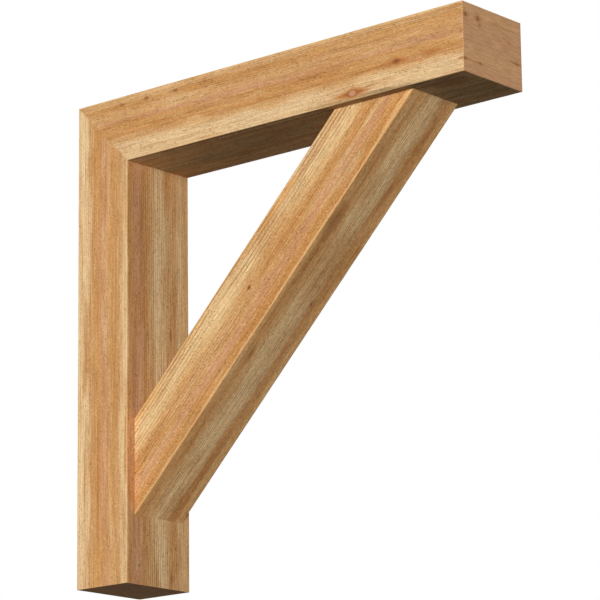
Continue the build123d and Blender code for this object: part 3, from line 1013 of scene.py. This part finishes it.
def screw_mesh(name, length, thread):
    """A washer-head timber screw along -Z, head seat at z = 0: hexagonal drive,
    plain shank, helical thread and gimlet point."""
    around = 48
    hexa = [4.0 / math.cos(((2 * math.pi * i / around) % (math.pi / 3)) - math.pi / 6) for i in range(around)]

    def six(scale):
        return [h * scale for h in hexa]
    root, crest, gap, step = 2.55, THREAD_D / 2 - 0.03, 4.2, 0.35
    prof = [(0, 0.95), (2.2, 1.2), (six(0.97), 1.2), (six(1.0), 1.35), (six(1.0), HEAD_H - 0.35),
            (six(1.07), HEAD_H), (HEAD_D / 2 - 2.9, HEAD_H), (HEAD_D / 2 - 2.4, HEAD_H - 0.12),
            (HEAD_D / 2 - 2.1, HEAD_H - 0.45), (HEAD_D / 2 - 1.3, 2.8), (HEAD_D / 2 - 0.55, 1.65),
            (HEAD_D / 2 - 0.15, 1.3), (HEAD_D / 2, 1.05), (HEAD_D / 2, 0.25), (HEAD_D / 2 - 0.2, 0.0),
            (HEAD_D / 2 - 2.5, 0.0), (SHANK_D / 2 + 0.0, 0.0), (SHANK_D / 2, -0.6), (SHANK_D / 2, -12.0)]
    z = -12.0
    end = -(length - thread)
    while z - 18.0 > end + 2.0:
        z -= 18.0
        prof.append((SHANK_D / 2, z))
    prof += [(SHANK_D / 2, end + 1.2), (SHANK_D / 2 - 0.3, end + 0.6), (root, end)]
    tip = -length
    z = end
    while z - step > tip + 0.5:
        z -= step
        near_tip = min(1.0, (z - tip) / POINT)
        grow = min(1.0, (end - z) / (gap * 0.8))
        body = root * near_tip
        top = crest * min(1.0, (z - tip) / (POINT * 1.02))
        row = []
        for i in range(around):
            phase = ((z - end) / gap + i / around) % 1.0
            ridge = max(0.0, 1.0 - abs(phase - 0.5) / 0.22)
            row.append(body + (top - body) * ridge ** 0.8 * grow)
        prof.append((row, z))
    prof.append((0, tip + 0.02))
    run = [0.0]
    for k in range(1, len(prof)):
        r0 = prof[k - 1][0] if not isinstance(prof[k - 1][0], list) else sum(prof[k - 1][0]) / around
        r1 = prof[k][0] if not isinstance(prof[k][0], list) else sum(prof[k][0]) / around
        run.append(run[-1] + math.hypot(r1 - r0, prof[k][1] - prof[k - 1][1]))
    sheet = run[-1] + 4.0

    def uv(turn, k):
        return ((2.0 + turn * 60.0) / sheet, (2.0 + run[k]) / sheet)
    return lathe(prof, around, name, uv)


def build_screws():
    look = steel()
    for name, (seat, way, (length, thread)) in places().items():
        me = screw_mesh(name + "_steel", length, thread)
        me.transform(Matrix.Scale(MM, 4) @ axis_matrix(seat, way))
        me.materials.append(look)
        ob = bpy.data.objects.new(name + "_steel", me)
        scene.collection.objects.link(ob)
        finish_mesh(ob, 32.0)
        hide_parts(name)
        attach(ob, "root")


def cut_rooms(timber, names, mat):
    """Bores the screws' recesses and holes into a timber."""
    spots = places()
    sheet = timber.sheet
    parts = []
    for idx, name in enumerate(names):
        seat, way, (length, thread) = spots[name]
        e = 0.06
        prof = [(0, SINK + 6.0), (SINK_D / 2 + 0.8, SINK + 6.0), (SINK_D / 2 + 0.55, SINK + 0.02), (SINK_D / 2, SINK - 0.6),
                (SINK_D / 2, 0.35), (SINK_D / 2 - 0.35, 0.0),
                (SHANK_D / 2 + e, 0.0), (SHANK_D / 2 + e, -(length - thread)),
                (THREAD_D / 2 + e, -(length - thread)), (THREAD_D / 2 + e, -(length - POINT)), (0, -length - e)]
        run = [0.0, 11.0, 12.0, 13.0, 26.0, 26.6, 34.0, 40.0, 41.0, 46.0, 50.0]
        x0 = 8.0 + idx * 78.0
        y0 = timber.hole_y

        def uv(turn, k, x0=x0, y0=y0):
            return ((x0 + turn * 68.0) / sheet, (y0 + run[k]) / sheet)
        me = lathe(prof, 40, "room_" + name, uv)
        me.transform(Matrix.Scale(MM, 4) @ axis_matrix(seat, way))
        parts.append(me)
    bm = bmesh.new()
    for me in parts:
        bm.from_mesh(me)
    joined = bpy.data.meshes.new("rooms_" + timber.name)
    bm.to_mesh(joined)
    bm.free()
    joined.materials.append(mat)
    cutter = bpy.data.objects.new("rooms_" + timber.name, joined)
    scene.collection.objects.link(cutter)
    mod = timber.ob.modifiers.new("rooms", "BOOLEAN")
    mod.operation = "DIFFERENCE"
    mod.object = cutter
    mod.solver = "EXACT"
    bpy.context.view_layer.update()
    got = bpy.data.meshes.new_from_object(timber.ob.evaluated_get(bpy.context.evaluated_depsgraph_get()))
    timber.ob.modifiers.clear()
    old = timber.ob.data
    timber.ob.data = got
    got.name = timber.name
    bpy.data.meshes.remove(old)
    bpy.data.objects.remove(cutter)
    for me in parts + [joined]:
        bpy.data.meshes.remove(me)


def finish_mesh(ob, angle=38.0):
    me = ob.data
    for p in me.polygons:
        p.use_smooth = True
    me.set_sharp_from_angle(angle=math.radians(angle))


def build_timbers():
    s = 1.0 / ROOT2
    hole_face = {
        # side index, L, distance along the side; sides: 0 near, 1 P low, 2 far, 3 P high
        "post": [(1, HALF - 90.0, FACE - 25.0), (1, HALF - 90.0, FACE + 25.0),
                 (1, -INNER + 150.0, FACE - 35.0), (1, -INNER + 150.0, FACE + 35.0)],
        "arm": [(3, 50.0, FACE - 60.0), (3, 50.0, FACE + 60.0),
                (3, HALF + INNER - 150.0, FACE - 35.0), (3, HALF + INNER - 150.0, FACE + 35.0)],
    }
    post = Timber("post_timber", FACE, DEPTH,
                  [{"plane": lambda p: -HALF, "ease": 0.7, "rings": 22, "relief": 0.18},
                   {"plane": lambda p: HALF - p, "ease": 0.22, "rings": 8, "stretch": ROOT2}],
                  ((0, 0, 1), (1, 0, 0), (0, 1, 0)), (0, 0, 0), 21, flat_at=hole_face["post"])
    arm = Timber("arm_timber", FACE, DEPTH,
                 [{"plane": lambda p: DEPTH - p, "ease": 0.22, "rings": 8, "stretch": ROOT2},
                  {"plane": lambda p: 2 * HALF, "ease": 0.7, "rings": 22, "relief": 0.18}],
                 ((1, 0, 0), (0, 0, 1), (0, 1, 0)), (0, 0, INNER), 22, flat_at=hole_face["arm"])
    brace = Timber("brace_timber", DEPTH / 2, DEPTH,
                   [{"plane": lambda p: p, "ease": 0.22, "rings": 8, "stretch": ROOT2},
                    {"plane": lambda p: BRACE_L - p, "ease": 0.22, "rings": 8, "stretch": ROOT2}],
                   ((s, 0, s), (-s, 0, s), (0, 1, 0)), (DEPTH, 0, -INNER), 23, uv_scale=0.96)
    mats = {"post": post_wood(), "arm": arm_wood(), "brace": brace_wood()}
    holes = {
        "post": ["heel_screw_top_near", "heel_screw_top_far", "heel_screw_back_near", "heel_screw_back_far",
                 "foot_screw_near", "foot_screw_far"],
        "arm": ["heel_screw_top_near", "heel_screw_top_far", "heel_screw_back_near", "heel_screw_back_far",
                "head_screw_near", "head_screw_far"],
        "brace": ["foot_screw_near", "foot_screw_far", "head_screw_near", "head_screw_far"],
    }
    for node, timber in (("post", post), ("arm", arm), ("brace", brace)):
        timber.ob.data.materials.append(mats[node])
        cut_rooms(timber, holes[node], mats[node])
        finish_mesh(timber.ob)
        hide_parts(node)
        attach(timber.ob, "root")


make_camera()
make_light()
make_floor()
build_timbers()
build_screws()
